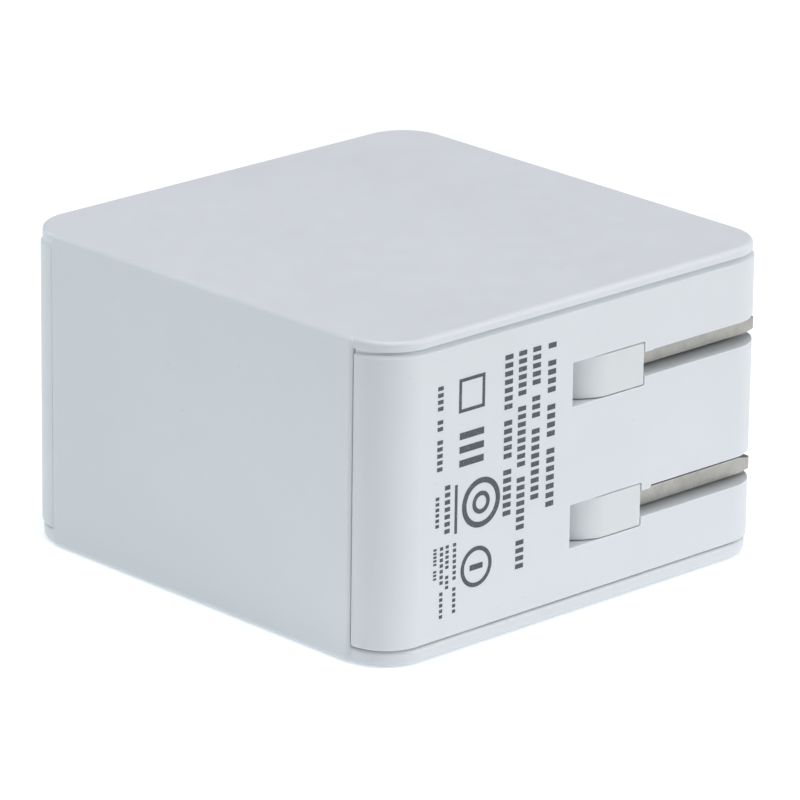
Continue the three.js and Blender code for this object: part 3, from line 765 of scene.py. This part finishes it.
def make_blade(side):
    """Stamped blade with clipped corners, a thinned tip and slightly rounded long edges."""
    node = f"prong_blade_{side}"
    low, high = box_mm(node)
    front, back = high.y, low.y
    tip = low.x
    shoulder = HINGE_X - BLOCK - 0.15
    tail_half = TAIL_WIDTH / 2
    tail_end = HINGE_X + TAIL_REACH
    clip = 1.1
    tip_clip = 0.45
    outline = [
        (tip, front - tip_clip), (tip, back + tip_clip), (tip + tip_clip, back), (shoulder, back),
        (shoulder, HINGE_Y - tail_half), (tail_end - clip, HINGE_Y - tail_half),
        (tail_end, HINGE_Y - tail_half + clip), (tail_end, HINGE_Y + tail_half - clip),
        (tail_end - clip, HINGE_Y + tail_half), (shoulder, HINGE_Y + tail_half),
        (shoulder, front), (tip + tip_clip, front),
    ]
    middle = LEVELS[side] - BLADE_SINK[side]
    loops = [[(x, y, middle + z) for x, y in outline] for z in (-BLADE_THICK / 2, BLADE_THICK / 2)]
    blade = loft(node, loops)
    thin_tip(blade, tip, middle)
    soften(blade, every_edge, 0.08, 3)
    finish_piece(blade, f"blade_{side}", "prongs", FINISHES["blade_nickel"], [node])


def thin_tip(blade, tip, middle):
    """Tapers the last stretch of a blade to its tip."""
    taper = 1.7
    tip_share = 0.6
    shape = bmesh.new()
    shape.from_mesh(blade.data)
    everything = shape.verts[:] + shape.edges[:] + shape.faces[:]
    bmesh.ops.bisect_plane(shape, geom=everything, plane_co=(tip + taper, 0, 0), plane_no=(1, 0, 0))
    for vertex in shape.verts:
        share = min(1, (vertex.co.x - tip) / taper)
        vertex.co.z = middle + (vertex.co.z - middle) * (tip_share + (1 - tip_share) * share)
    shape.to_mesh(blade.data)
    shape.free()


# ------------------------------------------------------------------ print on the label face

INK_SINK = 0.01


def ink_bar(shape, x_low, x_high, z_low, z_high):
    """One thin raised rectangle of ink on the label face."""
    centre = ((x_low + x_high) / 2, LABEL_Y + (INK - INK_SINK) / 2, (z_low + z_high) / 2)
    size = (x_high - x_low, INK + INK_SINK, z_high - z_low)
    bmesh.ops.create_cube(shape, size=1, matrix=Matrix.Translation(centre) @ Matrix.Diagonal((*size, 1)))


def ink_line(shape, x, top, bottom, height, words):
    """A row of dashes from top to bottom that stands for a line of small print."""
    pitch = (top - bottom) / (sum(words) + len(words) - 1)
    z = top
    for word in words:
        for _ in range(word):
            ink_bar(shape, x - height / 2, x + height / 2, z - 0.6 * pitch, z)
            z -= pitch
        z -= pitch


def ink_ring(shape, x, z, outer, width, sides=48):
    """A plain ring of ink, of any number of sides."""
    rims = []
    for y in (LABEL_Y - INK_SINK, LABEL_Y + INK):
        for radius in (outer, outer - width):
            points = arc(x, z, radius, QUARTER / 2, QUARTER / 2 + 4 * QUARTER, sides)[:-1]
            rims.append([shape.verts.new((px, y, pz)) for px, pz in points])
    back_outer, back_inner, front_outer, front_inner = rims
    for index in range(sides):
        after = (index + 1) % sides
        for one, other in (
            (front_inner, front_outer), (front_outer, back_outer),
            (back_outer, back_inner), (back_inner, front_inner),
        ):
            shape.faces.new((one[index], one[after], other[after], other[index]))


def make_print():
    """Dashes and plain shapes where the rating print is: no words, numbers or marks."""
    shape = bmesh.new()
    ink_line(shape, 3.75, 24.95, 10.1, 0.92, (1, 4, 4, 7))
    ink_line(shape, 5.55, 25.0, 11.2, 0.92, (5, 3, 9))
    ink_line(shape, 7.2, 25.0, 5.4, 0.92, (6, 8, 7, 4))
    ink_line(shape, 8.8, 25.0, 10.5, 0.92, (7, 5, 6))
    ink_line(shape, 16.65, 23.95, 16.3, 0.62, (4, 2, 5))
    ink_line(shape, 15.7, 15.1, 10.6, 0.6, (7,))
    ink_line(shape, 16.85, 14.3, 11.4, 0.4, (6,))
    for x, bottom in ((14.8, 3.4), (15.65, 5.75), (16.3, 3.25), (17.05, 6.9)):
        ink_line(shape, x, 9.8, bottom, 0.36, (5, 3) if bottom > 5 else (7, 5))
    ink_bar(shape, 14.55, 14.85, 10.6, 14.9)
    ink_ring(shape, 13.05, 22.6, 2.1, 0.42, 4)
    for offset in (-1.2, 0, 1.2):
        ink_bar(shape, 11.6, 14.4, 17.85 + offset - 0.3, 17.85 + offset + 0.3)
    ink_ring(shape, 11.8, 12.7, 2.2, 0.5)
    ink_ring(shape, 11.8, 12.7, 1.0, 0.4)
    ink_ring(shape, 12.25, 7.1, 1.8, 0.38)
    ink_bar(shape, 11.5, 13.0, 6.85, 7.35)
    bmesh.ops.recalc_face_normals(shape, faces=shape.faces)
    mesh = bpy.data.meshes.new("label_print")
    shape.to_mesh(mesh)
    shape.free()
    made = bpy.data.objects.new("label_print", mesh)
    bpy.context.scene.collection.objects.link(made)
    finish_piece(made, "label_print", "housing", INK_FINISH)


# ------------------------------------------------------------------ ports


def make_port(side, low, high):
    """Folded steel shell with leaf springs bent into it."""
    outside = rectangle((low.x, low.z), (high.x, high.z), 0.45, 6)
    sheet = PORT_SHEET
    shell = facing("port", outside, low.y, high.y, 0.08, 0.05)
    inside = rectangle((low.x + sheet, low.z + sheet), (high.x - sheet, high.z - sheet), 0.2, 6)
    carve(shell, facing("hollow", inside, low.y - 1, high.y - sheet))
    springs = []
    for wall, inward in ((low.x, 1), (high.x, -1)):
        for offset in (-3, 3):
            z = (low.z + high.z) / 2 + offset
            slot = block((wall - 0.5, low.y + 1.6, z - 1.1), (wall + 0.5, low.y + 6.4, z + 1.1))
            carve(shell, slot)
            springs.append(leaf_spring(wall, inward, low.y + 1.7, z))
    soften(shell, lambda start, end: min(start.y, end.y) < low.y + 0.2, 0.06)
    weld(shell, *springs)
    name = f"usb_shell_{side}"
    finish_piece(shell, f"port_shell_{side}", "housing", FINISHES["port_steel"], [name])


def leaf_spring(wall, inward, start_y, z):
    """A strip that leaves the wall at its deep end and bows into the port."""
    half = 0.8
    length = 4.9
    steps = 8
    inner, outer = [], []
    for step in range(steps + 1):
        share = step / steps
        bow = 0.55 * math.sin(math.pi * min(1, 0.25 + 0.75 * share)) * inward
        y = start_y + length * share
        outer.append((wall + bow + 0.02 * inward, y))
        inner.append((wall + bow + 0.24 * inward, y))
    outline = outer + list(reversed(inner))
    if inward > 0:
        outline.reverse()
    return loft("leaf", [[(x, y, level) for x, y in outline] for level in (z - half, z + half)])


# ------------------------------------------------------------------ carried-over CAD nodes


def dress_cad_nodes():
    """Gives every CAD node that stays its finish and softly rounded edges."""
    slots = {part["node"]: part["material_slot"] for part in frame["record"]["subparts"]}
    for name, node in frame["nodes"].items():
        if node.hide_render:
            continue
        node.data.materials.clear()
        node.data.materials.append(FINISHES[slots[name]])
        merge = node.modifiers.new("merge", "WELD")
        merge.merge_threshold = 0.00001
        bevel = node.modifiers.new("soft_edges", "BEVEL")
        bevel.width = 0.00012
        bevel.segments = 3
        bevel.limit_method = "ANGLE"
        bevel.angle_limit = math.radians(40)


make_camera()
make_floor()
make_lights()
make_cover()
make_rear_shell()
make_front_shell()
make_carrier()
for blade_side in LEVELS:
    make_blade(blade_side)
make_print()
for port_side, (port_low, port_high) in port_boxes().items():
    make_port(port_side, port_low, port_high)
dress_cad_nodes()
bpy.context.scene.view_settings.view_transform = "Standard"
